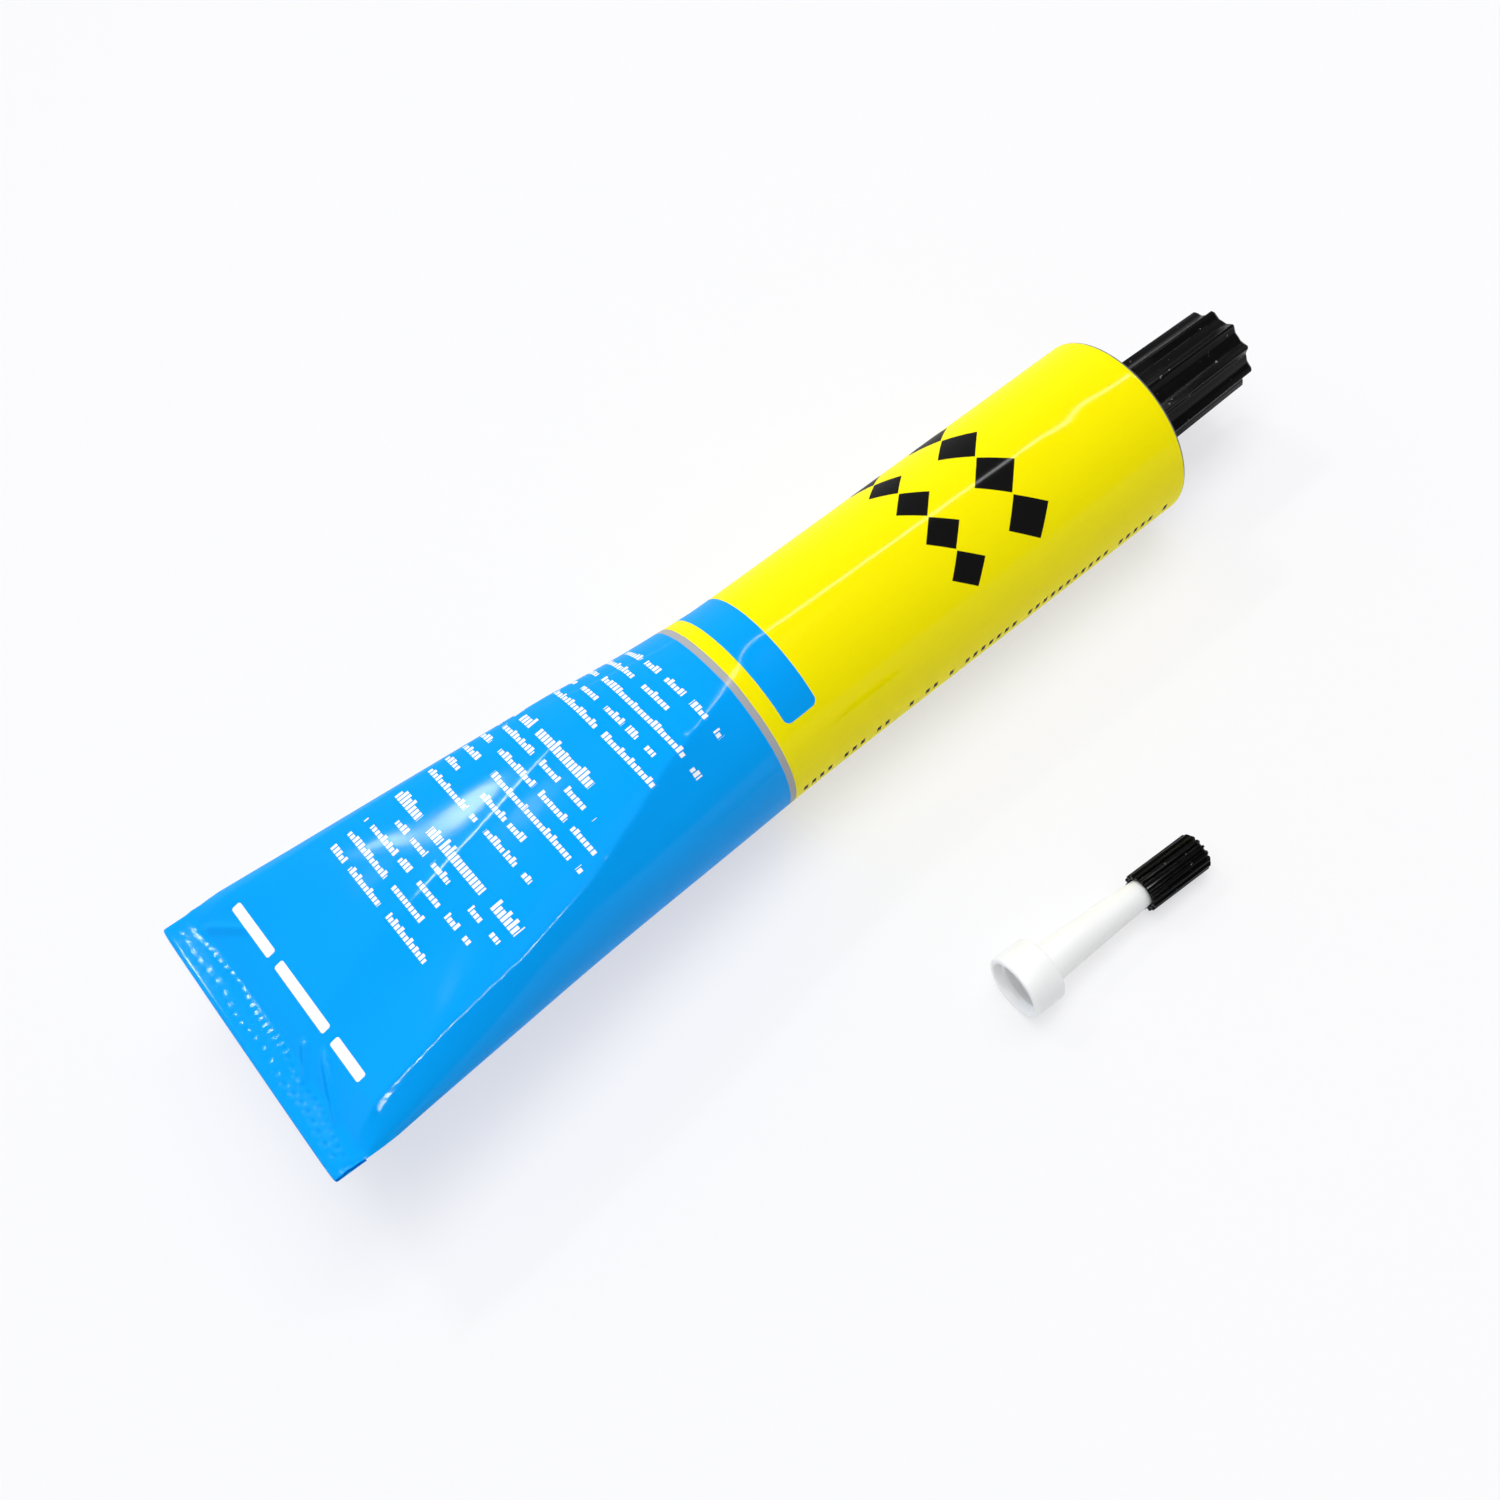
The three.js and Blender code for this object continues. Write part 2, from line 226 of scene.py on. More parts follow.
# Printed colours and shapes
YELLOW = "#FAEC00"
BLUE = "#00A0F8"
SILVER = "#A9ABAE"
# The rim's bare metal edge is printed dark grey: its shade and dark reflection are painted in
RIM_SHADE_GREY = "#6A6C70"
BLACK = "#101010"
WHITE = "#F4F6F8"
BLUE_END = 85.5
SILVER_END = 86.7
RIM_SHADE_START = TUBE_LENGTH + RIM_ROUND / 6
STRIP_CENTRE = (92.4, 0)
STRIP_HALF = (3.1, 16.2)
STRIP_CORNER = 1.2

# Each row of lozenges has its place along the tube, half length, pitch and count.
LOZENGE_ROWS = ((140.8, 4.4, 8.6, 4), (127.6, 3.6, 6.9, 5))
LOZENGE_FILL = 0.96

# Each dash by the tail has its place round the tube and half length.
DASHES = ((-14.6, 5.4), (0, 7.2), (13.2, 4))
DASH_LINE = 10.8
DASH_HALF_WIDTH = 0.8
DASH_CORNER = 0.4

# A row of ticks along the lower side, some of which are missing
TICK_LINE = 30.6
TICK_HALF_HEIGHT = 0.8
TICKS_MIDDLE = 128.0
TICKS_REACH = 40.0
TICK_PITCH = 1.7
TICK_SHARE = 0.5
TICKS_MISSING = 0.22

# Each block of small print has its upper edge, number of lines and height of a line.
PRINT_BLOCKS = ((80.4, 5, 1.15), (61.9, 1, 2.0), (58.4, 5, 1.15), (40.5, 1, 2.0), (37.1, 4, 1.15))
PRINT_PITCH = 3.15
PRINT_LEFT = -16.5
PRINT_SHORTEST_END = 3.0
PRINT_LONGEST_END = 17.0
LETTER_PITCH = 0.8
LETTER_GAP = 0.26
LETTER_DROP = 0.3
LOW_LETTERS = 0.6
TALL_LETTERS = 0.7
WORD_LENGTH = 10 / 3
WORD_GAP = 0.37
LINE_SPREAD = 17.3

# Places taken from the frame: the tail edge and the tube's axis
cap_turn = next(joint for joint in frame["joints"] if joint["name"] == "cap_turn")
TAIL_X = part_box("tube_body")[0].x / MM
AXIS_Y = cap_turn["pos_m"][1] / MM
AXIS_Z = cap_turn["pos_m"][2] / MM
CAP_X = cap_turn["pos_m"][0] / MM
SHOULDER_TOP = TUBE_LENGTH + SHOULDER_RISE
NECK_END = SHOULDER_TOP + NECK_LENGTH


# Modelling helpers

def deselect():
    bpy.ops.object.select_all(action="DESELECT")


def edit_all(piece):
    """Enters edit mode with every vertex of one piece selected."""
    deselect()
    bpy.context.view_layer.objects.active = piece
    piece.select_set(True)
    bpy.ops.object.mode_set(mode="EDIT")
    bpy.ops.mesh.select_all(action="SELECT")


def leave_edit():
    bpy.ops.object.mode_set(mode="OBJECT")


def apply_modifier(piece, kind, **settings):
    modifier = piece.modifiers.new(kind.lower(), kind)
    for name, value in settings.items():
        setattr(modifier, name, value)
    bpy.context.view_layer.objects.active = piece
    bpy.ops.object.modifier_apply(modifier=modifier.name)


def read_points(piece):
    points = np.empty(len(piece.data.vertices) * 3)
    piece.data.vertices.foreach_get("co", points)
    return points.reshape(-1, 3)


def write_points(piece, points):
    piece.data.vertices.foreach_set("co", np.ascontiguousarray(points, dtype=np.float32).ravel())
    piece.data.update()


def outline(name, profile):
    """Draws (along, radius) points as a chain of edges in the XZ plane."""
    deselect()
    bpy.ops.mesh.primitive_plane_add(size=1)
    piece = bpy.context.object
    piece.name = name
    bpy.ops.object.mode_set(mode="EDIT")
    bpy.ops.mesh.merge(type="CENTER")
    bpy.ops.transform.translate(value=(profile[0][0] * MM, 0, profile[0][1] * MM))
    for here, there in zip(profile, profile[1:]):
        step = ((there[0] - here[0]) * MM, 0, (there[1] - here[1]) * MM)
        bpy.ops.mesh.extrude_region_move(TRANSFORM_OT_translate={"value": step})
    leave_edit()
    return piece


def tidy_mesh(piece):
    """Merges doubles and turns every face outwards."""
    edit_all(piece)
    bpy.ops.mesh.remove_doubles(threshold=MERGE_REACH)
    bpy.ops.mesh.normals_make_consistent(inside=False)
    leave_edit()


def turned(name, profile, steps):
    """Spins an outline once round the X axis, as on a lathe."""
    piece = outline(name, profile)
    edit_all(piece)
    bpy.ops.mesh.remove_doubles(threshold=MERGE_REACH)
    bpy.ops.mesh.spin(steps=steps, angle=2 * math.pi, center=(0, 0, 0), axis=(1, 0, 0))
    leave_edit()
    tidy_mesh(piece)
    return piece


def close_holes(piece, sides):
    """Fills the open edges of a piece and turns every face outwards."""
    edit_all(piece)
    bpy.ops.mesh.remove_doubles(threshold=MERGE_REACH)
    bpy.ops.mesh.select_all(action="DESELECT")
    bpy.ops.mesh.select_non_manifold()
    bpy.ops.mesh.fill_holes(sides=sides)
    bpy.ops.mesh.select_all(action="SELECT")
    bpy.ops.mesh.normals_make_consistent(inside=False)
    leave_edit()


def thread_ridge(name, start, turns, root, crest):
    """A helical ridge about the X axis, drawn as a trapezium and swept by a screw."""
    sunk = math.copysign(THREAD_SUNK, root - crest)
    profile = [
        (start - THREAD_ROOT / 2, root + sunk),
        (start - THREAD_CREST / 2, crest),
        (start + THREAD_CREST / 2, crest),
        (start + THREAD_ROOT / 2, root + sunk),
        (start - THREAD_ROOT / 2, root + sunk),
    ]
    ridge = outline(name, profile)
    edit_all(ridge)
    bpy.ops.mesh.remove_doubles(threshold=MERGE_REACH)
    leave_edit()
    steps = THREAD_STEPS * turns
    apply_modifier(
        ridge, "SCREW", axis="X", angle=2 * math.pi * turns, steps=steps, render_steps=steps,
        screw_offset=THREAD_PITCH * turns * MM, use_merge_vertices=False,
    )
    close_holes(ridge, 4)
    return ridge


def weld(piece, other):
    """Joins another solid to a piece for good."""
    apply_modifier(piece, "BOOLEAN", operation="UNION", object=other, solver="EXACT")
    bpy.data.objects.remove(other)


def carve_outside(piece, depth, least_radius):
    """Takes a depth, worked out from each point's angle, off the points that lie outside a radius."""
    points = read_points(piece)
    radius = np.hypot(points[:, 1], points[:, 2])
    angle = np.arctan2(points[:, 2], points[:, 1])
    outer = radius > least_radius * MM
    scale = np.where(outer, 1 - depth(angle) * MM / np.maximum(radius, 1e-9), 1)
    points[:, 1:] *= scale[:, None]
    write_points(piece, points)


def shade_smooth(piece, sharp_angle):
    """Shades a piece smooth but for edges sharper than an angle."""
    deselect()
    bpy.context.view_layer.objects.active = piece
    piece.select_set(True)
    bpy.ops.object.shade_smooth_by_angle(angle=math.radians(sharp_angle))


def soften(piece, width, segments=3):
    """Rounds the sharp edges a little and shades the rest smooth."""
    apply_modifier(
        piece, "BEVEL", width=width * MM, segments=segments, limit_method="ANGLE",
        angle_limit=math.radians(BEVEL_ANGLE), use_clamp_overlap=True,
    )
    shade_smooth(piece, SMOOTH_ANGLE)


def place(piece, matrix, body, node, material):
    """Puts a finished piece where its solid is, and says which body, node and finish are its own."""
    piece.data.transform(matrix)
    piece.data.materials.clear()
    piece.data.materials.append(material)
    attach(piece, body)
    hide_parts(node)


# Node helpers

# A colour Mix node's sockets: the colour below, the colour laid over it, and the result
UNDER, OVER, MIXED = 6, 7, 2


def linear(hex_colour):
    """An sRGB hex colour as linear RGBA."""
    channels = [int(hex_colour[at:at + 2], 16) / 255 for at in (1, 3, 5)]
    return [c / 12.92 if c <= 0.04045 else ((c + 0.055) / 1.055) ** 2.4 for c in channels] + [1]


def add(tree, kind, inputs=None, **settings):
    """Adds a node; an input is a plain value or another node's output."""
    node = tree.nodes.new("ShaderNode" + kind)
    for name, value in settings.items():
        setattr(node, name, value)
    for key, value in (inputs or {}).items():
        if isinstance(value, bpy.types.NodeSocket):
            tree.links.new(value, node.inputs[key])
        else:
            node.inputs[key].default_value = value
    return node


def new_material(name, **sockets):
    """A material with one Principled shader and plain values on its sockets."""
    material = bpy.data.materials.new(name)
    material.use_nodes = True
    tree = material.node_tree
    tree.nodes.clear()
    shader = add(tree, "BsdfPrincipled")
    for key, value in sockets.items():
        shader.inputs[key.replace("_", " ")].default_value = value
    output = add(tree, "OutputMaterial", {"Surface": shader.outputs[0]})
    output.is_active_output = True
    return material, tree, shader


# Printed tube

BEND_RADIUS = (FOLD_LAYER + FOLD_SLIT) / 2
BEND = BEND_RADIUS + FOLD_LAYER / 2
BEND_TOP = BEND - math.pi * BEND_RADIUS
FOLD_END = BEND_TOP - (FOLD_DEPTH - BEND)
RIM_END = TUBE_LENGTH + RIM_ROUND * math.pi / 2


def tube_path(distance):
    """Where the tube's middle line runs: along X from the tail, and folded back under the tail's end.

    Returns the place along X, the height against the flat tail and the turn from the X direction.
    """
    turn = np.clip((BEND - distance) / BEND_RADIUS, 0, math.pi)
    back = max(0, BEND_TOP - distance)
    along = max(distance, BEND) - BEND_RADIUS * np.sin(turn) + back
    drop = -BEND_RADIUS * (1 - np.cos(turn))
    return along, drop, turn


def tube_size(along, inset):
    """Place along X, half width, half height, flatness and rise of a section.

    The inset is 0 for the outside of the wall and the wall's thickness for its inside.
    """
    rim_turn = np.clip((along - TUBE_LENGTH) / RIM_ROUND, 0, math.pi / 2)
    rim = RIM_ROUND - inset
    shrink = inset + rim * (1 - np.cos(rim_turn))
    taper = (along - FOLD_DEPTH) / (TAPER_LENGTH - FOLD_DEPTH)
    fullness = max(0, (taper + 1 - math.hypot(taper - 1, TAPER_BLEND)) / 2)
    half_width = TAIL_HALF_WIDTH + (TUBE_RADIUS - TAIL_HALF_WIDTH) * fullness - shrink
    half_height = max(TUBE_RADIUS * fullness ** TAIL_SWELL, FOLD_LAYER / 2) - shrink
    rise = TAIL_RISE * np.clip(1 - along / TAPER_LENGTH, 0, 1)
    return min(along, TUBE_LENGTH) + rim * np.sin(rim_turn), half_width, half_height, 1 - fullness, rise


def section_points(half_width, half_height, flatness, around):
    """Points on one section at even arc lengths, from the underside round by +Y to the underside again."""
    angle = np.linspace(-math.pi / 2, 1.5 * math.pi, SECTION_SAMPLES)
    across = np.cos(angle)
    spread = np.sqrt((1 + TAIL_CROWN ** 2) / (across ** 2 + TAIL_CROWN ** 2))
    side = half_width * across * (1 + flatness * (spread - 1))
    height = half_height * np.sin(angle)
    arc = np.concatenate([[0], np.cumsum(np.hypot(np.diff(side), np.diff(height)))])
    wanted = around * arc[-1]
    return np.interp(wanted, arc, side), np.interp(wanted, arc, height)


def ridge_line(u, v, line, height, above, below):
    """A raised crease with a sharp crest that follows a chain of (u, v) points along the tube.

    Towards the top line it dies away over the length above, and down the side over the length below.
    """
    stations = np.array([point[0] for point in line])
    crest = np.interp(u, stations, np.array([point[1] for point in line]))
    start = np.clip((u - stations[0]) / CREASE_START_FADE, 0, 1)
    end = np.clip((stations[-1] - u) / CREASE_END_FADE, 0, 1)
    reach = np.where(np.abs(v) > np.abs(crest), below, above)
    return height * (start * end) * np.exp(-np.hypot(v - crest, CREST_ROUND) / reach)


def dimple(u, v, place_u, place_v, reach_u, reach_v, depth):
    return -depth * np.exp(-((u - place_u) / reach_u) ** 2 - ((v - place_v) / reach_v) ** 2)


def wrinkle(u, v, start, end, height, width):
    """A short sharp fold between two (u, v) points."""
    du, dv = end[0] - start[0], end[1] - start[1]
    length = math.hypot(du, dv)
    share = ((u - start[0]) * du + (v - start[1]) * dv) / length ** 2
    off = np.abs((u - start[0]) * dv - (v - start[1]) * du) / length
    fade = np.clip(np.minimum(share, 1 - share) * WRINKLE_END_SLOPE + WRINKLE_END_HEIGHT, 0, 1)
    return height * fade * np.exp(-(off / width) ** 2)


def handling_marks(u, v):
    """Creases, wrinkles and shallow dents of a filled and handled tube, in millimetres outwards."""
    marks = np.zeros_like(v)
    for crease in CREASES:
        marks += ridge_line(u, v, *crease)
    for fold in WRINKLES:
        marks += wrinkle(u, v, *fold)
    for dent in DENTS:
        marks += dimple(u, v, *dent)

    # A slow ripple left by filling, stronger on the soft half, of uneven lengths so that it doesn't repeat
    sway = np.sin(u / 17 + 0.4) * np.sin(v / 4.1 + 1.1) + 0.6 * np.sin(u / 9.1 + v / 5.7)
    soft_half = np.clip((SOFT_END - u) / SOFT_FADE, 0, 1)
    marks += sway * (RIPPLE_STIFF + RIPPLE_SOFT * soft_half)

    # The flat tail and the rim stay plain
    past_fold = np.clip((u - FOLD_DEPTH + FOLD_FADE) / FOLD_FADE, 0, 1)
    before_rim = np.clip((TUBE_LENGTH - RIM_PLAIN - u) / RIM_FADE, 0, 1)
    return np.maximum(marks * (past_fold * before_rim), -DENT_LIMIT)


def crimp_marks(u, v):
    """Two uneven rows of small pits from the crimping jaws on the flat tail, deepest on the near half."""
    pits = np.zeros_like(v)
    upper_crimp = UPPER_CRIMP - CRIMP_SLOPE * np.clip(v - CRIMP_SLOPE_START, 0, CRIMP_SLOPE_REACH)
    for row, pitch, shift in ((upper_crimp, 1.5, 0.3), (LOWER_CRIMP, 2.1, 1.2)):
        line = row + CRIMP_WANDER * np.sin(v / 2.1 + shift)
        beat = np.clip(np.cos(2 * math.pi * v / pitch + 1.7 * np.sin(v / 2.9 + shift)), 0, 1)
        depth = (DEPTH_BETWEEN_PITS + beat) * np.interp(v, PIT_PLACES, PIT_DEPTHS)
        pits -= depth * np.exp(-((u - line) / PIT_RADIUS) ** 2)
    return pits * np.clip((u - TAIL_EDGE) / TAIL_EDGE_FADE, 0, 1)


def tube_stations():
    """Distances along the tube's middle line where its rings lie: the outside first, then the inside."""
    plain_rim = TUBE_LENGTH - RIM_PLAIN
    spans = (
        (FOLD_END, BEND_TOP, 14),
        (BEND_TOP, BEND, 8),
        (BEND, FINE_RINGS_END, 48),
        (FINE_RINGS_END, TAPER_LENGTH, 92),
        (TAPER_LENGTH, plain_rim, 52),
        (plain_rim, TUBE_LENGTH, 4),
    )
    outside = [np.linspace(start, stop, rings, endpoint=False) for start, stop, rings in spans]
    outside.append(np.linspace(TUBE_LENGTH, RIM_END, 7))
    inside = [
        np.linspace(RIM_END, TUBE_LENGTH, 4, endpoint=False),
        np.linspace(TUBE_LENGTH, FOLD_DEPTH + TAIL_LAND, 40),
    ]
    return np.concatenate(outside + inside), sum(len(span) for span in outside)


def printed_tube():
    """A sheet rolled into a tube, pressed flat at the tail and folded under."""
    stations, outside_count = tube_stations()
    deselect()
    bpy.ops.mesh.primitive_grid_add(
        x_subdivisions=len(stations) - 1, y_subdivisions=TUBE_COLUMNS, size=2, calc_uvs=True,
    )
    tube = bpy.context.object
    tube.name = "printed_tube"
    grid = (read_points(tube) + 1) / 2
    ring_of = np.round(grid[:, 0] * (len(stations) - 1)).astype(int)
    around = grid[:, 1]
    points = np.empty_like(grid)
    for ring, distance in enumerate(stations):
        here = ring_of == ring
        on_inside = ring >= outside_count
        v = (around[here] - 0.5) * GIRTH
        along, drop, turn = tube_path(distance)
        along, half_width, half_height, flatness, rise = tube_size(along, WALL if on_inside else 0)
        side, height = section_points(half_width, half_height, flatness, around[here])
        out_side = side / half_width ** 2
        out_height = height / half_height ** 2
        out_length = np.hypot(out_side, out_height)
        marks = handling_marks(distance, v) + (0 if on_inside else crimp_marks(distance, v))
        side = side + marks * out_side / out_length
        height = height + marks * out_height / out_length
        points[here, 0] = TAIL_X + along - height * np.sin(turn)
        points[here, 1] = AXIS_Y + side
        points[here, 2] = AXIS_Z + rise + drop + height * np.cos(turn)
    table_height = np.where(ring_of < outside_count, 0, WALL)
    points[:, 2] = np.maximum(points[:, 2], table_height)
    write_points(tube, points * MM)
    lay_print_map(tube, stations)
    close_holes(tube, 0)
    shade_smooth(tube, TUBE_SMOOTH_ANGLE)
    return tube


def lay_print_map(tube, stations):
    """A UV map in millimetres: along the tube from the tail, and round it from the top line."""
    layer = tube.data.uv_layers.active
    layer.name = "print"
    flat = np.empty(len(layer.data) * 2)
    layer.data.foreach_get("uv", flat)
    flat = flat.reshape(-1, 2)
    flat[:, 0] = np.interp(flat[:, 0] * (len(stations) - 1), np.arange(len(stations)), stations)
    flat[:, 1] = (flat[:, 1] - 0.5) * GIRTH
    layer.data.foreach_set("uv", flat.ravel())


def shoulder_and_neck():
    """The bare end of the tube: a rolled rim with a shallow groove, a low cone and the threaded neck."""
    rim_top = TUBE_LENGTH + RIM_ROUND
    inner_rim = TUBE_RADIUS - RIM_ROUND
    profile = [
        (rim_top, inner_rim),
        (rim_top - RIM_GROOVE_DEPTH, inner_rim - RIM_GROOVE_OUTER),
        (rim_top - RIM_GROOVE_DEPTH, inner_rim - RIM_GROOVE_INNER),
        (rim_top + RIM_GROOVE_LIP, inner_rim - RIM_GROOVE_END),
        (SHOULDER_TOP - SHOULDER_CROWN, NECK_RADIUS + NECK_FLARE),
        (SHOULDER_TOP, NECK_RADIUS + NECK_FILLET),
        (SHOULDER_TOP + NECK_FILLET, NECK_RADIUS),
        (NECK_END - NECK_LIP, NECK_RADIUS),
        (NECK_END, NECK_RADIUS - NECK_LIP_INSET),
        (NECK_END, ORIFICE_RADIUS),
        (SHOULDER_TOP - SHOULDER_WALL, ORIFICE_RADIUS),
        (TUBE_LENGTH - SHOULDER_WALL, inner_rim - WALL),
        (rim_top - WALL, inner_rim),
        (rim_top, inner_rim),
    ]
    neck = turned("shoulder_and_neck", profile, NECK_STEPS)
    crest = NECK_RADIUS + THREAD_HEIGHT
    weld(neck, thread_ridge("neck_thread", SHOULDER_TOP + THREAD_START, NECK_TURNS, NECK_RADIUS, crest))
    soften(neck, NECK_EDGE_ROUND)
    return neck


# Screw cap

def flute_depth(angle):
    """Round hollows between the cap's narrow ridges."""
    share = ((angle - CAP_RIDGE_TURN) * CAP_FLUTES / (2 * math.pi)) % 1
    hollow = np.minimum(1, CAP_FLUTE_BREADTH * np.sin(math.pi * share))
    return CAP_FLUTE_DEPTH * hollow ** CAP_FLUTE_ROUND


def fluted_cap():
    """A tall cap: hollow flutes between narrow ridges, a spike in the crown's recess, a threaded socket."""
    profile = [
        (CAP_SOCKET_DEPTH, 0),
        (CAP_SOCKET_DEPTH, SOCKET_RADIUS),
        (0, SOCKET_RADIUS),
        (0, CAP_SLEEVE_RADIUS),
        (CAP_POCKET_DEPTH, CAP_SLEEVE_RADIUS),
        (CAP_POCKET_DEPTH, CAP_SKIRT_RADIUS),
        (0, CAP_SKIRT_RADIUS),
        (0, CAP_BASE_RADIUS),
        (CAP_LENGTH - CAP_EDGE, CAP_CROWN_RADIUS),
        (CAP_LENGTH, CAP_CROWN_RADIUS - CAP_EDGE),
        (CAP_LENGTH, CAP_RECESS_RADIUS),
        (CAP_RECESS_FLOOR, CAP_RECESS_RADIUS),
        (CAP_RECESS_FLOOR, SPIKE_RADIUS),
        (CAP_RECESS_FLOOR + SPIKE_LENGTH, SPIKE_TIP),
        (CAP_RECESS_FLOOR + SPIKE_LENGTH, 0),
    ]
    cap = turned("fluted_cap", profile, CAP_STEPS_PER_FLUTE * CAP_FLUTES)
    carve_outside(cap, flute_depth, CAP_SKIRT_RADIUS + CAP_SKIRT_MARGIN)
    crest = SOCKET_RADIUS - THREAD_HEIGHT
    weld(cap, thread_ridge("cap_thread", CAP_THREAD_START, SOCKET_TURNS, SOCKET_RADIUS, crest))
    soften(cap, CAP_EDGE_ROUND)
    return cap


# Nozzle and its cap

SPOUT_TIP = COLLAR_LENGTH + SPOUT_LENGTH
SMALL_CAP_START = SPOUT_TIP + SMALL_CAP_TIP_GAP + SMALL_CAP_END - SMALL_CAP_LENGTH
SMALL_CAP_STOP = SMALL_CAP_START + SMALL_CAP_LENGTH


def spout_radius(along):
    taper = SPOUT_TIP_RADIUS - SPOUT_BASE_RADIUS
    return SPOUT_BASE_RADIUS + taper * (along - COLLAR_LENGTH) / SPOUT_LENGTH


def spout_nozzle():
    """A threaded collar with a bored, tapered spout."""
    profile = [
        (0, SOCKET_RADIUS),
        (0, COLLAR_RADIUS - COLLAR_EDGE / 2),
        (COLLAR_EDGE / 2, COLLAR_RADIUS),
        (COLLAR_LENGTH - COLLAR_EDGE, COLLAR_RADIUS),
        (COLLAR_LENGTH, COLLAR_RADIUS - COLLAR_EDGE),
        (COLLAR_LENGTH, SPOUT_BASE_RADIUS + COLLAR_EDGE),
        (COLLAR_LENGTH + COLLAR_EDGE, spout_radius(COLLAR_LENGTH + COLLAR_EDGE)),
        (SPOUT_TIP, SPOUT_TIP_RADIUS),
        (SPOUT_TIP, BORE_TIP),
        (SOCKET_DEPTH, BORE_BASE),
        (SOCKET_DEPTH, SOCKET_RADIUS),
        (0, SOCKET_RADIUS),
    ]
    nozzle = turned("spout_nozzle", profile, NOZZLE_STEPS)
    crest = SOCKET_RADIUS - THREAD_HEIGHT
    weld(nozzle, thread_ridge("nozzle_thread", THREAD_PITCH / 2, SOCKET_TURNS, SOCKET_RADIUS, crest))
    soften(nozzle, NOZZLE_EDGE_ROUND)
    return nozzle


def rib_groove_depth(angle):
    """Square grooves between the small cap's fine ribs."""
    wave = np.cos(angle * SMALL_CAP_RIBS)
    groove = np.clip(SMALL_CAP_GROOVE_BREADTH - SMALL_CAP_GROOVE_SLOPE * wave, 0, 1)
    return SMALL_CAP_RIB_DEPTH * groove


def ribbed_spout_cap():
    """A small push-on cap with fine square ribs and a pin that closes the spout's bore."""
    bore_end = SMALL_CAP_STOP - SMALL_CAP_END
    pin_tip = bore_end - SMALL_CAP_TIP_GAP - SEAL_PIN_LENGTH
    mouth_radius = spout_radius(SMALL_CAP_START) + SMALL_CAP_FIT
    profile = [
        (pin_tip, 0),
        (pin_tip, SEAL_PIN_RADIUS),
        (bore_end, SEAL_PIN_RADIUS),
        (bore_end, spout_radius(bore_end) + SMALL_CAP_FIT),
        (SMALL_CAP_START, mouth_radius),
        (SMALL_CAP_START, SMALL_CAP_RADIUS),
        (SMALL_CAP_STOP - COLLAR_EDGE, SMALL_CAP_RADIUS),
        (SMALL_CAP_STOP, SMALL_CAP_RADIUS - COLLAR_EDGE),
        (SMALL_CAP_STOP, 0),
    ]
    cap = turned("ribbed_spout_cap", profile, SMALL_CAP_STEPS_PER_RIB * SMALL_CAP_RIBS)
    carve_outside(cap, rib_groove_depth, mouth_radius + SMALL_CAP_BORE_MARGIN)
    soften(cap, SMALL_CAP_EDGE_ROUND, segments=2)
    return cap


# Masks for the print

def bar(tree, map_point, centre, half, corner):
    """A mask that is 1 inside a rounded rectangle on the print map."""
    off = add(tree, "VectorMath", {0: map_point, 1: (*centre, 0)}, operation="SUBTRACT")
    size = add(tree, "VectorMath", {0: off.outputs[0]}, operation="ABSOLUTE")
    inner = (half[0] - corner, half[1] - corner, 1)
    past = add(tree, "VectorMath", {0: size.outputs[0], 1: inner}, operation="SUBTRACT")
    clear = add(tree, "VectorMath", {0: past.outputs[0], 1: (0, 0, 0)}, operation="MAXIMUM")
    reach = add(tree, "VectorMath", {0: clear.outputs[0]}, operation="LENGTH")
    return add(tree, "Math", {0: reach.outputs["Value"], 1: corner}, operation="LESS_THAN").outputs[0]


def either(tree, masks):
    """The union of several masks."""
    joined = masks[0]
    for mask in masks[1:]:
        joined = add(tree, "Math", {0: joined, 1: mask}, operation="MAXIMUM").outputs[0]
    return joined


def lozenge_row(tree, along, around, centre, half, pitch, count):
    """A mask of a row of lozenges that runs round the tube."""
    off = add(tree, "Math", {0: along, 1: centre}, operation="SUBTRACT").outputs[0]
    off = add(tree, "Math", {0: off}, operation="ABSOLUTE").outputs[0]
    off = add(tree, "Math", {0: off, 1: half}, operation="DIVIDE").outputs[0]
    first = 0.5 * (count % 2)
    cell = add(tree, "Math", {0: around, 1: 1 / pitch, 2: first}, operation="MULTIPLY_ADD").outputs[0]
    cell = add(tree, "Math", {0: cell}, operation="FRACT").outputs[0]
    cell = add(tree, "Math", {0: cell, 1: 0.5}, operation="SUBTRACT").outputs[0]
    cell = add(tree, "Math", {0: cell}, operation="ABSOLUTE").outputs[0]
    reach = add(tree, "Math", {0: cell, 1: 2.0, 2: off}, operation="MULTIPLY_ADD").outputs[0]
    inside = add(tree, "Math", {0: reach, 1: LOZENGE_FILL}, operation="LESS_THAN").outputs[0]
    edge = add(tree, "Math", {0: around}, operation="ABSOLUTE").outputs[0]
    within = add(tree, "Math", {0: edge, 1: count * pitch / 2}, operation="LESS_THAN").outputs[0]
    return add(tree, "Math", {0: inside, 1: within}, operation="MULTIPLY").outputs[0]


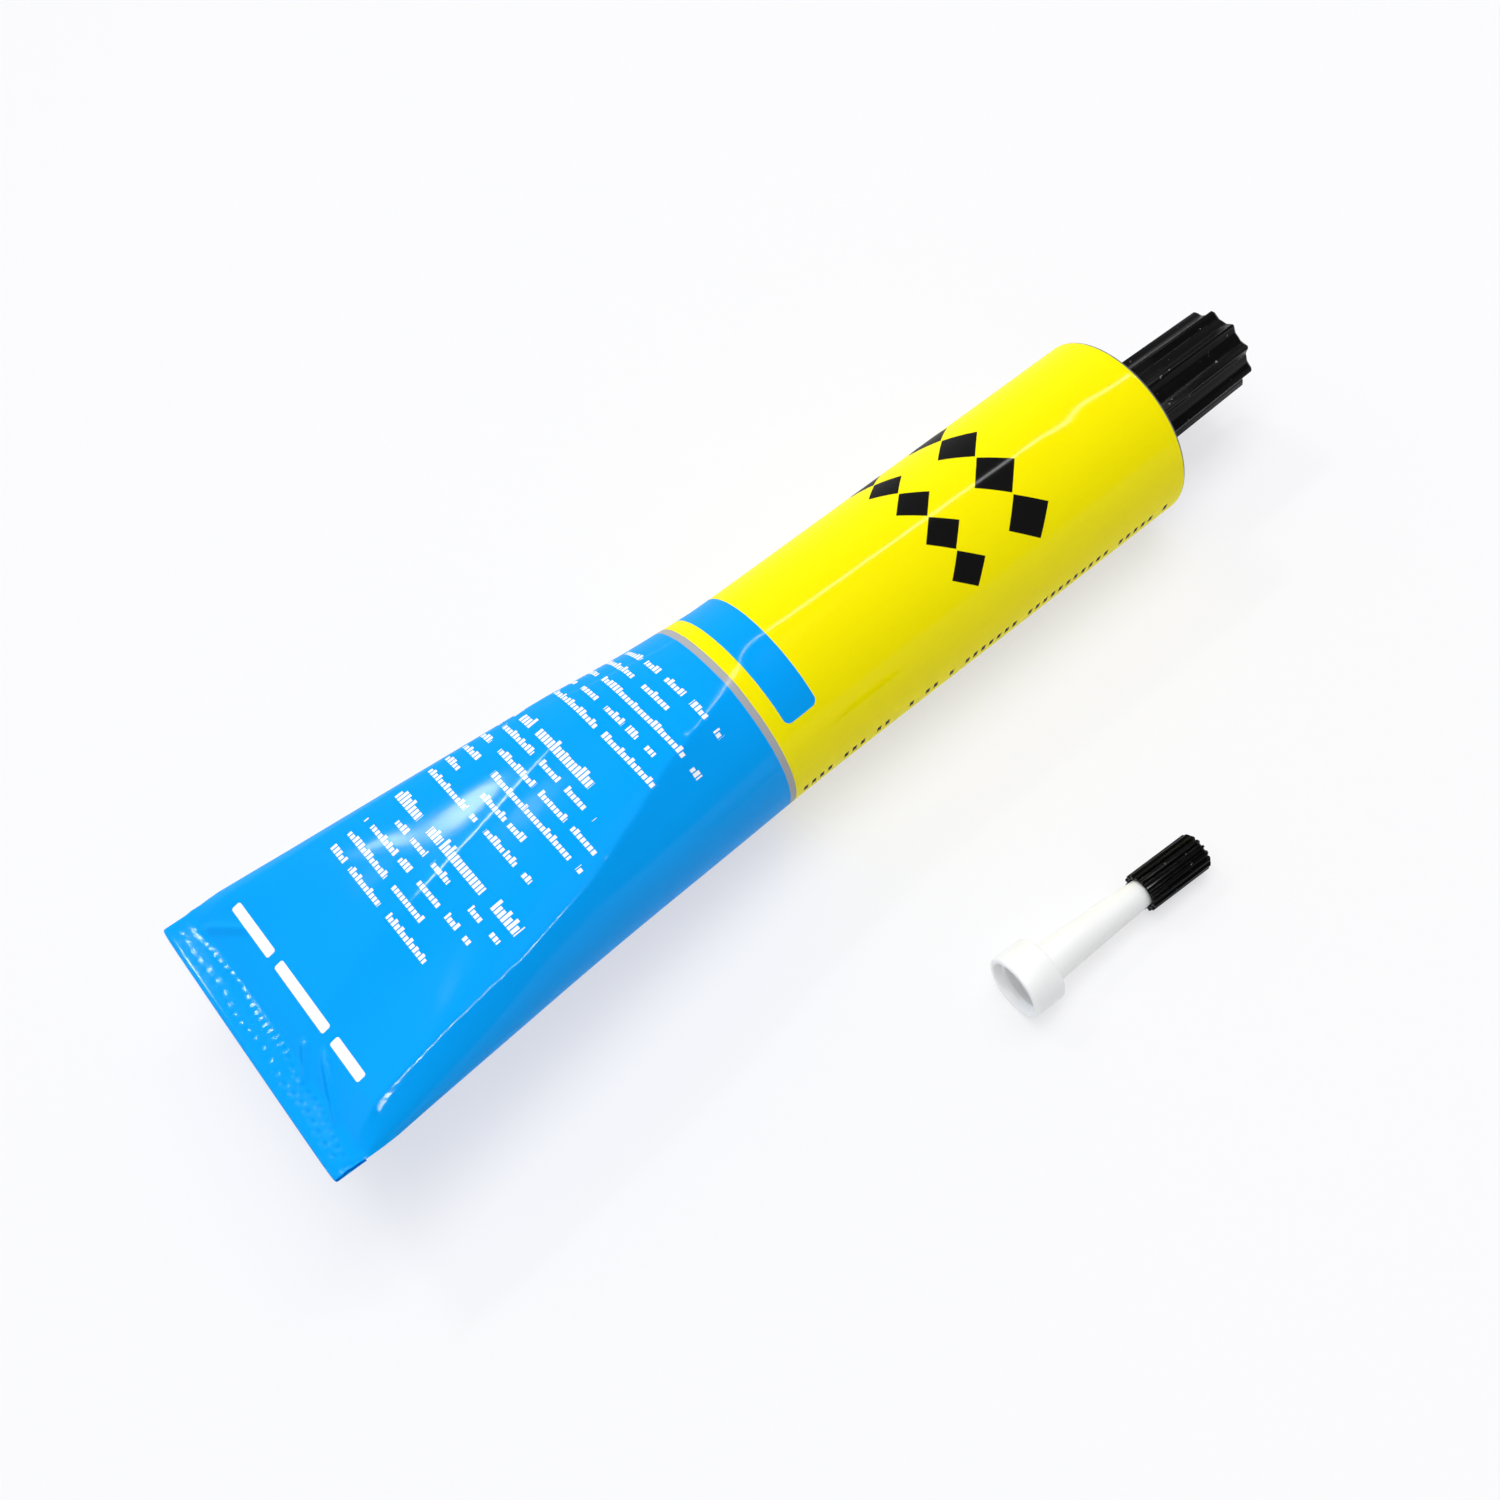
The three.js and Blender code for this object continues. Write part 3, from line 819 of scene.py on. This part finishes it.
def side_ticks(tree, along, around):
    """A mask of tiny ticks in a row along the lower side of the yellow part, with some left out."""
    row_place = {0: around, 1: TICK_LINE, 2: TICK_HALF_HEIGHT}
    row = add(tree, "Math", row_place, operation="COMPARE").outputs[0]
    reach = add(tree, "Math", {0: along, 1: TICKS_MIDDLE, 2: TICKS_REACH}, operation="COMPARE").outputs[0]
    step = add(tree, "Math", {0: along, 1: 1 / TICK_PITCH}, operation="MULTIPLY").outputs[0]
    phase = add(tree, "Math", {0: step}, operation="FRACT").outputs[0]
    inked = add(tree, "Math", {0: phase, 1: TICK_SHARE}, operation="LESS_THAN").outputs[0]
    number = add(tree, "Math", {0: step}, operation="FLOOR").outputs[0]
    chance = add(tree, "TexWhiteNoise", {"W": number}, noise_dimensions="1D").outputs[0]
    kept = add(tree, "Math", {0: chance, 1: TICKS_MISSING}, operation="GREATER_THAN").outputs[0]
    mask = row
    for limit in (reach, inked, kept):
        mask = add(tree, "Math", {0: mask, 1: limit}, operation="MULTIPLY").outputs[0]
    return mask


def small_print(tree, along, around):
    """Masks of print in lines across the tube: uneven blocks with gaps between words and ragged ends."""
    masks = []
    for top, count, size in PRINT_BLOCKS:
        # Which line, which letter in it, and where inside the two
        down = add(tree, "Math", {0: top, 1: along}, operation="SUBTRACT").outputs[0]
        row = add(tree, "Math", {0: down, 1: PRINT_PITCH}, operation="DIVIDE").outputs[0]
        number = add(tree, "Math", {0: row}, operation="FLOOR").outputs[0]
        phase = add(tree, "Math", {0: row}, operation="FRACT").outputs[0]
        seed = add(tree, "Math", {0: number, 1: top}, operation="ADD").outputs[0]
        cell = add(tree, "Math", {0: around, 1: LETTER_PITCH}, operation="DIVIDE").outputs[0]
        cell_number = add(tree, "Math", {0: cell}, operation="FLOOR").outputs[0]
        cell_phase = add(tree, "Math", {0: cell}, operation="FRACT").outputs[0]

        # Most letters are low and some are tall
        cell_spot = add(tree, "CombineXYZ", {0: cell_number, 1: seed}).outputs[0]
        chance = add(tree, "TexWhiteNoise", {"Vector": cell_spot}, noise_dimensions="2D").outputs[0]
        drop = LETTER_DROP * size / PRINT_PITCH
        letters = {0: chance, 1: LOW_LETTERS, 2: TALL_LETTERS, 3: drop, 4: 0.0}
        lower = add(tree, "MapRange", letters).outputs[0]

        # Ragged line ends, and gaps between words
        ragged = add(tree, "TexWhiteNoise", {"W": seed}, noise_dimensions="1D").outputs[0]
        line_ends = {0: ragged, 3: PRINT_SHORTEST_END, 4: PRINT_LONGEST_END}
        stop = add(tree, "MapRange", line_ends).outputs[0]
        far_off = add(tree, "Math", {0: seed, 1: LINE_SPREAD}, operation="MULTIPLY").outputs[0]
        spot = add(tree, "CombineXYZ", {0: around, 1: far_off}).outputs[0]
        word_scale = {"Vector": spot, "Scale": 1 / WORD_LENGTH, "Detail": 0.0}
        words = add(tree, "TexNoise", word_scale, noise_dimensions="2D").outputs[0]
        limits = (
            add(tree, "Math", {0: phase, 1: lower}, operation="GREATER_THAN"),
            add(tree, "Math", {0: number, 1: -0.5}, operation="GREATER_THAN"),
            add(tree, "Math", {0: number, 1: count - 0.5}, operation="LESS_THAN"),
            add(tree, "Math", {0: around, 1: stop}, operation="LESS_THAN"),
            add(tree, "Math", {0: around, 1: PRINT_LEFT}, operation="GREATER_THAN"),
            add(tree, "Math", {0: words, 1: WORD_GAP}, operation="GREATER_THAN"),
            add(tree, "Math", {0: cell_phase, 1: LETTER_GAP}, operation="GREATER_THAN"),
        )
        mask = add(tree, "Math", {0: phase, 1: size / PRINT_PITCH}, operation="LESS_THAN").outputs[0]
        for limit in limits:
            mask = add(tree, "Math", {0: mask, 1: limit.outputs[0]}, operation="MULTIPLY").outputs[0]
        masks.append(mask)
    return masks


# Materials

def printed_enamel():
    """Gloss enamel printed on aluminium and varnished: strong flat colours under a clear, wavy shine."""
    material, tree, shader = new_material(
        "printed_gloss_enamel", Roughness=0.3, IOR=1.5, Specular_IOR_Level=0.0,
        Coat_Weight=0.24, Coat_Roughness=0.08,
    )
    uv = add(tree, "UVMap", uv_map="print").outputs[0]
    parts = add(tree, "SeparateXYZ", {0: uv})
    along, around = parts.outputs[0], parts.outputs[1]

    # Areas: a blue half with a thin silver line at its end, the bare rim darkened as painted shade, and the
    # blue strip
    on_blue = add(tree, "Math", {0: along, 1: BLUE_END}, operation="LESS_THAN").outputs[0]
    up_to_line = add(tree, "Math", {0: along, 1: SILVER_END}, operation="LESS_THAN").outputs[0]
    # Painted shade: past this point the rim's edge is coloured dark grey
    on_rim_shade = add(tree, "Math", {0: along, 1: RIM_SHADE_START}, operation="GREATER_THAN").outputs[0]
    on_strip = bar(tree, uv, STRIP_CENTRE, STRIP_HALF, STRIP_CORNER)

    # Black shapes: two rows of lozenges and a row of ticks on the side
    rows = [lozenge_row(tree, along, around, *row) for row in LOZENGE_ROWS]
    on_black = either(tree, rows + [side_ticks(tree, along, around)])

    # White shapes: lines of small print that spell nothing, and three plain dashes by the tail
    dashes = [
        bar(tree, uv, (DASH_LINE, centre), (DASH_HALF_WIDTH, half), DASH_CORNER) for centre, half in DASHES
    ]
    on_white = either(tree, small_print(tree, along, around) + dashes)

    # The colours go on one after another, over a yellow base coat
    colour = linear(YELLOW)
    coats = (
        (SILVER, up_to_line), (BLUE, on_blue), (RIM_SHADE_GREY, on_rim_shade), (BLUE, on_strip),
        (BLACK, on_black), (WHITE, on_white),
    )
    for ink, area in coats:
        inked = {"Factor": area, UNDER: colour, OVER: linear(ink)}
        colour = add(tree, "Mix", inked, data_type="RGBA").outputs[MIXED]
    tree.links.new(colour, shader.inputs["Base Color"])

    # A faint waviness of the varnish, drawn at 2.5 mm so that it shows; the map is in millimetres
    wave = add(tree, "TexNoise", {"Vector": uv, "Scale": 1 / 2.5, "Detail": 2.0})
    bump = add(tree, "Bump", {"Height": wave.outputs[0], "Strength": 0.06, "Distance": 0.2 * MM})
    tree.links.new(bump.outputs[0], shader.inputs["Normal"])
    return material


def bare_aluminium():
    """Drawn aluminium, turned on the shoulder: a soft grey metal with fine rings round the neck."""
    material, tree, shader = new_material("turned_aluminium", Metallic=1.0, Roughness=0.32)
    shader.inputs["Base Color"].default_value = linear("#C9CBCF")
    spot = add(tree, "TexCoord").outputs["Object"]
    from_axis = add(tree, "Mapping", {
        "Vector": spot, "Location": (0, -AXIS_Y * MM, -AXIS_Z * MM), "Scale": (0, 1, 1),
    })
    radius = add(tree, "VectorMath", {0: from_axis.outputs[0]}, operation="LENGTH").outputs["Value"]
    # Rings 0.4 mm apart
    ring_scale = {"W": radius, "Scale": 1 / (0.4 * MM), "Detail": 2.0}
    rings = add(tree, "TexNoise", ring_scale, noise_dimensions="1D")
    bump = add(tree, "Bump", {"Height": rings.outputs[0], "Strength": 0.25, "Distance": 0.05 * MM})
    tree.links.new(bump.outputs[0], shader.inputs["Normal"])
    return material


def black_polyethylene():
    """Moulded black polyethylene: satin black with a soft shine, dulled and nicked where it was handled."""
    material, tree, shader = new_material("black_polyethylene", IOR=1.5, Specular_IOR_Level=0.1)
    spot = add(tree, "TexCoord").outputs["Object"]
    # Nicks a good millimetre apart, and duller patches of 4 to 5 mm
    grain = add(tree, "TexNoise", {"Vector": spot, "Scale": 0.9 / MM, "Detail": 3.0}).outputs[0]
    patches = add(tree, "TexNoise", {"Vector": spot, "Scale": 0.22 / MM, "Detail": 3.0}).outputs[0]
    rough = add(tree, "MapRange", {0: patches, 1: 0.3, 2: 0.7, 3: 0.14, 4: 0.34}).outputs[0]
    tree.links.new(rough, shader.inputs["Roughness"])
    nicks = add(tree, "MapRange", {0: grain, 1: 0.69, 2: 0.74}).outputs[0]
    nicked = {"Factor": nicks, UNDER: linear("#070708"), OVER: linear("#6E6E70")}
    colour = add(tree, "Mix", nicked, data_type="RGBA").outputs[MIXED]
    tree.links.new(colour, shader.inputs["Base Color"])
    bump = add(tree, "Bump", {"Height": grain, "Strength": 0.15, "Distance": 0.05 * MM})
    tree.links.new(bump.outputs[0], shader.inputs["Normal"])
    return material


def natural_polyethylene():
    """Unpigmented polyethylene: milky and waxy, letting light glow through its thin walls."""
    material, tree, shader = new_material(
        "natural_polyethylene", Roughness=0.34, IOR=1.51, Subsurface_Weight=0.6, Subsurface_Scale=1.5 * MM,
        Subsurface_Radius=(1, 1, 1),
    )
    spot = add(tree, "TexCoord").outputs["Object"]
    # Clouds of about 6 mm in the melt
    cloud = add(tree, "TexNoise", {"Vector": spot, "Scale": 0.16 / MM, "Detail": 2.0}).outputs[0]
    clouded = {"Factor": cloud, UNDER: linear("#FCFDFD"), OVER: linear("#F5F7F8")}
    colour = add(tree, "Mix", clouded, data_type="RGBA").outputs[MIXED]
    tree.links.new(colour, shader.inputs["Base Color"])
    return material


def natural_latex():
    """Dried latex band: a matt, slightly grainy cream rubber."""
    material, tree, shader = new_material("natural_latex", Roughness=0.62, IOR=1.52)
    spot = add(tree, "TexCoord").outputs["Object"]
    # Grains of about 1.4 mm
    grain = add(tree, "TexNoise", {"Vector": spot, "Scale": 0.7 / MM, "Detail": 4.0}).outputs[0]
    grained = {"Factor": grain, UNDER: linear("#DCCDA6"), OVER: linear("#C9B98F")}
    colour = add(tree, "Mix", grained, data_type="RGBA").outputs[MIXED]
    tree.links.new(colour, shader.inputs["Base Color"])
    return material


def clear_cement():
    """Thick solvent cement: a clear amber liquid with a wet shine."""
    material, tree, shader = new_material("amber_cement", Roughness=0.12, IOR=1.47)
    spot = add(tree, "TexCoord").outputs["Object"]
    # Streaks of about 17 mm
    cloud = add(tree, "TexNoise", {"Vector": spot, "Scale": 0.06 / MM, "Detail": 2.0}).outputs[0]
    streaked = {"Factor": cloud, UNDER: linear("#DDB860"), OVER: linear("#C89F47")}
    colour = add(tree, "Mix", streaked, data_type="RGBA").outputs[MIXED]
    tree.links.new(colour, shader.inputs["Base Color"])
    return material


def liner_foam():
    """Foamed polyethylene liner: matt white with fine closed cells."""
    material, tree, shader = new_material("liner_foam", Roughness=0.8, IOR=1.5)
    spot = add(tree, "TexCoord").outputs["Object"]
    # Cells of 0.4 mm
    cells = add(tree, "TexVoronoi", {"Vector": spot, "Scale": 1 / (0.4 * MM)}).outputs[0]
    foamed = {"Factor": cells, UNDER: linear("#F0F0EE"), OVER: linear("#DEDEDA")}
    colour = add(tree, "Mix", foamed, data_type="RGBA").outputs[MIXED]
    tree.links.new(colour, shader.inputs["Base Color"])
    return material


# Assembly

def dress_solid(node, material):
    """A solid whose shape is right keeps it and gets its finish."""
    mesh = frame["nodes"][node].data
    mesh.materials.clear()
    mesh.materials.append(material)


def lying_nozzle():
    """Where the nozzle lies: tilted so that its collar and its small cap both touch the table."""
    pitch = math.atan((COLLAR_RADIUS - SMALL_CAP_RADIUS) / (SMALL_CAP_STOP - COLLAR_LENGTH))
    mouth_height = COLLAR_RADIUS * math.cos(pitch) + (COLLAR_LENGTH - COLLAR_EDGE) * math.sin(pitch)
    mouth = Vector((TAIL_X + NOZZLE_FROM_TAIL, AXIS_Y - NOZZLE_FROM_AXIS, mouth_height)) * MM
    return Matrix.Translation(mouth) @ Matrix.Rotation(NOZZLE_YAW, 4, "Z") @ Matrix.Rotation(pitch, 4, "Y")


def build_object():
    aluminium = bare_aluminium()
    black = black_polyethylene()
    tube_place = Matrix.Translation(Vector((TAIL_X, AXIS_Y, AXIS_Z)) * MM)
    cap_place = Matrix.Translation(Vector((CAP_X, AXIS_Y, AXIS_Z)) * MM)
    nozzle_place = lying_nozzle()
    place(printed_tube(), Matrix.Identity(4), "tube", "tube_body", printed_enamel())
    place(shoulder_and_neck(), tube_place, "tube", "tube_body", aluminium)
    place(fluted_cap(), cap_place, "cap", "screw_cap", black)
    place(spout_nozzle(), nozzle_place, "nozzle", "nozzle", natural_polyethylene())
    place(ribbed_spout_cap(), nozzle_place, "small_cap", "nozzle_cap", black)
    dress_solid("neck_membrane", aluminium)
    dress_solid("tail_end_seal", natural_latex())
    dress_solid("cement_fill", clear_cement())
    dress_solid("cap_liner", liner_foam())


# Stage: pale floor, soft light and the camera; floor and lamps are in metres and watts

FLOOR_SIZE = 6
FLOOR_GLOW = 0.66
SKY_BRIGHT_SIDE = (0, 0.6, -0.8)
SKY_DIM = 0.24
SKY_BRIGHT = 0.95


def pale_floor():
    """A pale laminate table that looks almost white and keeps a light shadow."""
    deselect()
    bpy.ops.mesh.primitive_plane_add(size=FLOOR_SIZE)
    floor = bpy.context.object
    floor.name = "floor"
    material, tree, shader = new_material("pale_table", Roughness=0.6, Specular_IOR_Level=0.1)
    shader.inputs["Base Color"].default_value = linear("#F4F4F5")
    ray = add(tree, "LightPath")
    rays = ("Is Camera Ray", "Is Glossy Ray", "Is Transmission Ray")
    seen = either(tree, [ray.outputs[kind] for kind in rays])
    share = add(tree, "Math", {0: seen, 1: FLOOR_GLOW}, operation="MULTIPLY").outputs[0]
    white = add(tree, "Emission", {"Color": linear("#F9F9FB"), "Strength": 1.0}).outputs[0]
    blend = add(tree, "MixShader", {0: share, 1: shader.outputs[0], 2: white}).outputs[0]
    tree.links.new(blend, tree.nodes["Material Output"].inputs["Surface"])
    floor.data.materials.append(material)


def area_light(name, spot, size, power):
    data = bpy.data.lights.new(name, "AREA")
    data.shape = "RECTANGLE"
    data.size, data.size_y = size
    data.energy = power
    lamp = bpy.data.objects.new(name, data)
    lamp.location = spot
    bpy.context.scene.collection.objects.link(lamp)
    return lamp


def soft_sky():
    """Even light from all round, brighter from low behind the tube and dimmer from above the camera."""
    world = bpy.data.worlds.new("studio")
    bpy.context.scene.world = world
    world.use_nodes = True
    tree = world.node_tree
    tree.nodes.clear()
    direction = add(tree, "TexCoord").outputs["Generated"]
    towards = {0: direction, 1: SKY_BRIGHT_SIDE}
    glow = add(tree, "VectorMath", towards, operation="DOT_PRODUCT").outputs["Value"]
    level = add(tree, "MapRange", {0: glow, 1: -0.7, 2: 0.6, 3: SKY_DIM, 4: SKY_BRIGHT}).outputs[0]
    sky = add(tree, "Background", {"Color": (1, 1, 1, 1), "Strength": level})
    add(tree, "OutputWorld", {"Surface": sky.outputs[0]})


def studio_light():
    # The soft key has no reflection, and the card shows only in reflections, on the crests of the creases
    key = area_light("soft_key", (-0.1, -0.1, 1.4), (1.0, 1.0), 12.5)
    key.visible_glossy = False
    lamp = area_light("ceiling_lamp", (-0.15, 0.85, 1.05), (0.2, 0.06), 1.9)
    near_card = area_light("near_card", (-0.1, -0.55, 1.2), (0.5, 0.16), 15)
    near_card.visible_diffuse = False
    for light in (key, lamp, near_card):
        light.rotation_euler = (-light.location).to_track_quat("-Z", "Y").to_euler()
    strip = area_light("overhead_strip", (0.5, 0.18, 1.0), (0.8, 0.045), 2.4)
    strip.rotation_euler = (0, 0, math.radians(-30))


def photo_camera():
    """The photograph's view point, taken from a fit to the tube's outline."""
    data = bpy.data.cameras.new("camera")
    data.sensor_width = 36
    data.lens = 41.533
    data.clip_start = 0.01
    data.clip_end = 20
    view_point = Vector((-79.91, -126.61, 233.88)) * MM
    heading, tilt, roll = math.radians(-25.77), math.radians(54.65), math.radians(-15.76)
    camera = bpy.data.objects.new("camera", data)
    camera.matrix_world = (
        Matrix.Translation(view_point)
        @ Matrix.Rotation(heading, 4, "Z")
        @ Matrix.Rotation(math.pi / 2 - tilt, 4, "X")
        @ Matrix.Rotation(roll, 4, "Z")
    )
    bpy.context.scene.collection.objects.link(camera)
    bpy.context.scene.camera = camera


build_object()
pale_floor()
soft_sky()
studio_light()
photo_camera()
bpy.context.scene.view_settings.view_transform = "Standard"

bpy.context.view_layer.update()
